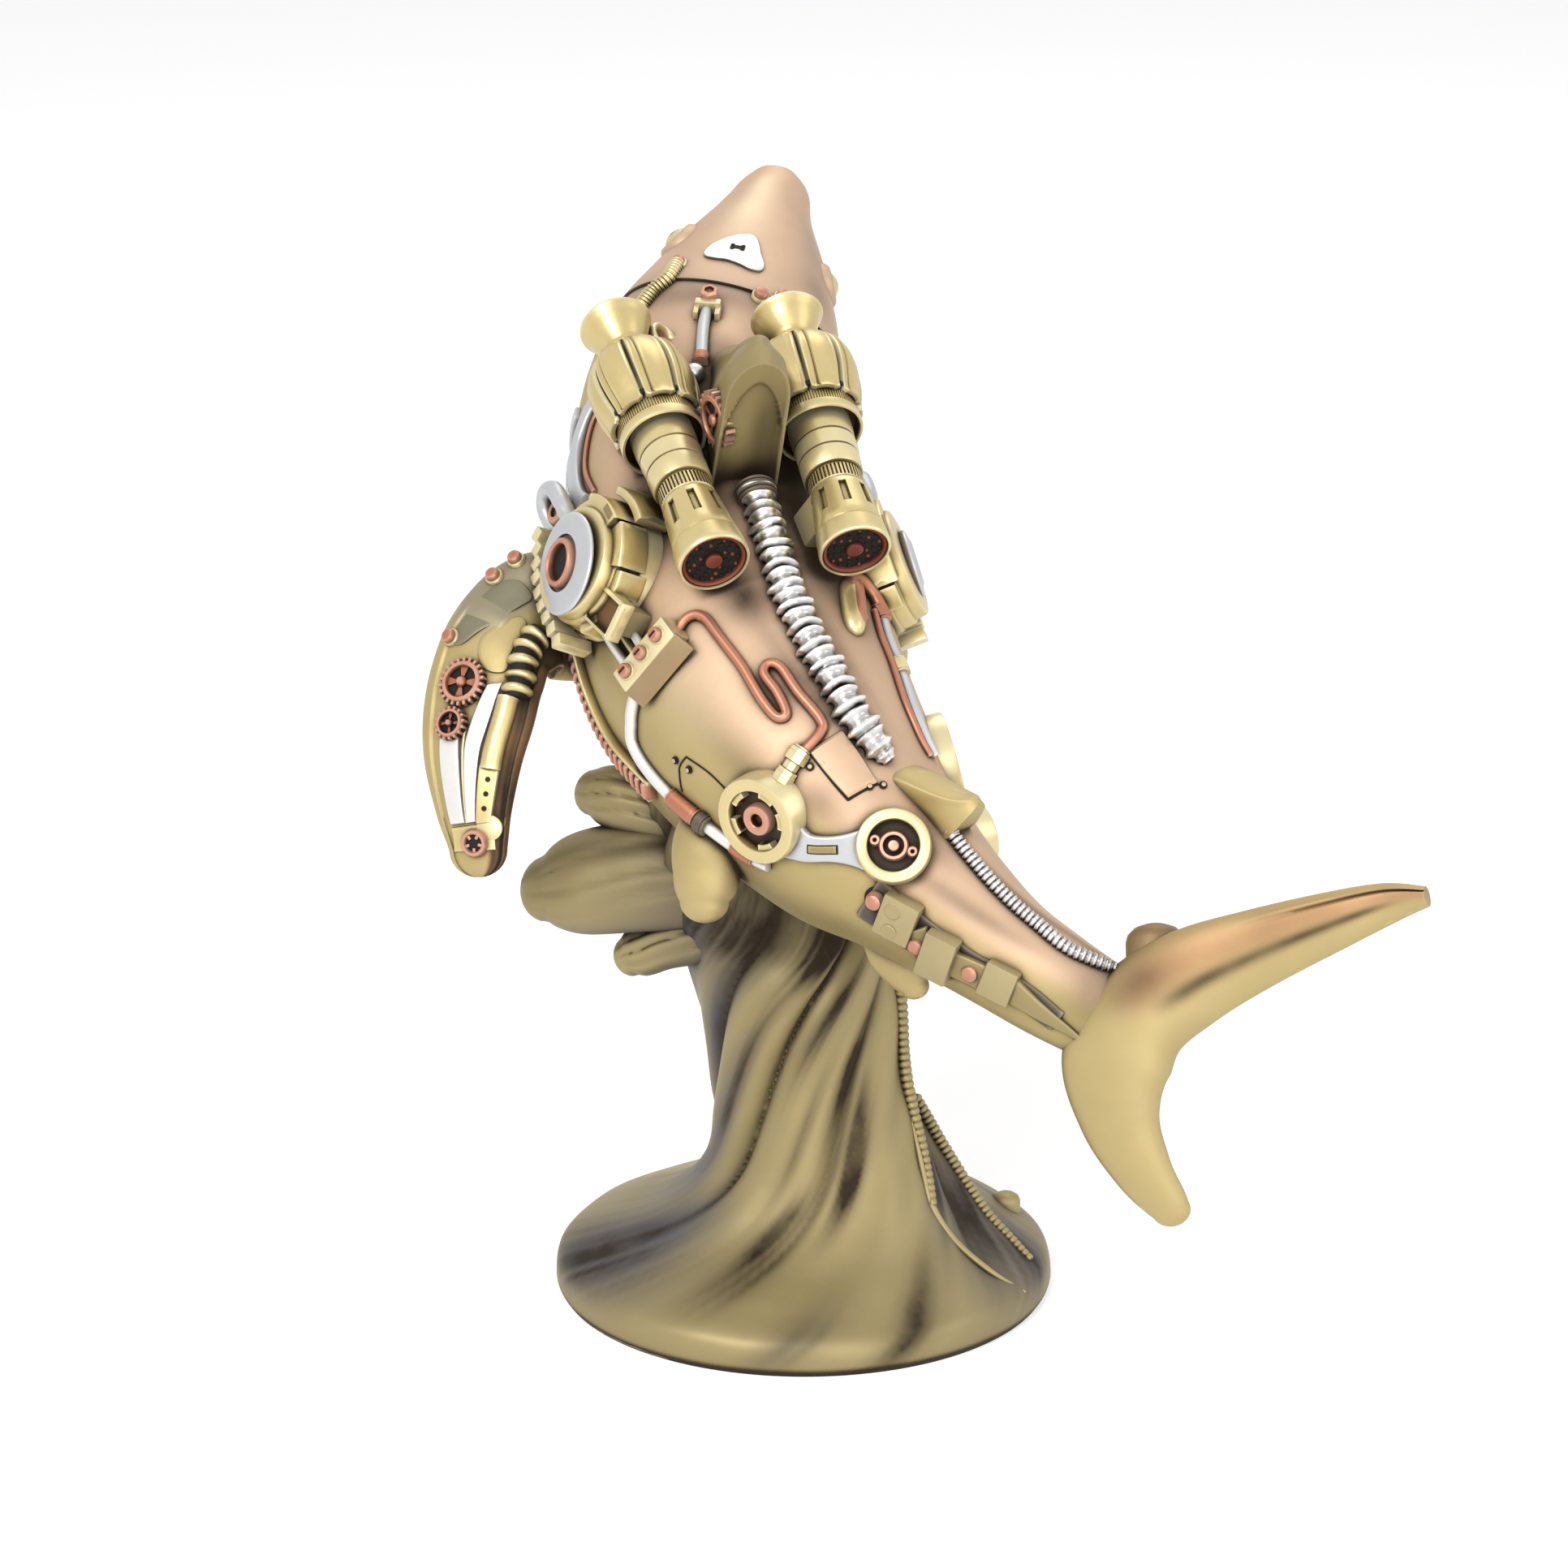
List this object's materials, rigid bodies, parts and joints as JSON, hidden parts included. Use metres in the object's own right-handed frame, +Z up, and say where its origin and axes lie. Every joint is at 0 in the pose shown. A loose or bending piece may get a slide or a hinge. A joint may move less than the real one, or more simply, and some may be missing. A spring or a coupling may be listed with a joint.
{
  "type": "shark figurine",
  "caption": "Standing ornament: a clockwork shark with jets, wheels and hoses leaps over a breaking wave that flares into a round flat foot.",
  "frame": {"origin": "middle of the flat underside", "axes": "+Z up; the shark's back and its tail face -Y, its snout points to +Y and up, its tail sweeps out to +X"},
  "size_m": [0.2167, 0.2123, 0.2428],
  "materials": {
    "antique_gold": "cast resin painted pale metallic gold with dark antiquing in the recesses",
    "rose_copper": "cast resin painted rose copper",
    "silver_paint": "cast resin painted bright silver",
    "bronze_wave": "cast resin painted olive bronze with blue-grey and brown shading in the flutes"
  },
  "bodies": {
    "root": {"figurine": "antique_gold"}
  },
  "joints": []
}
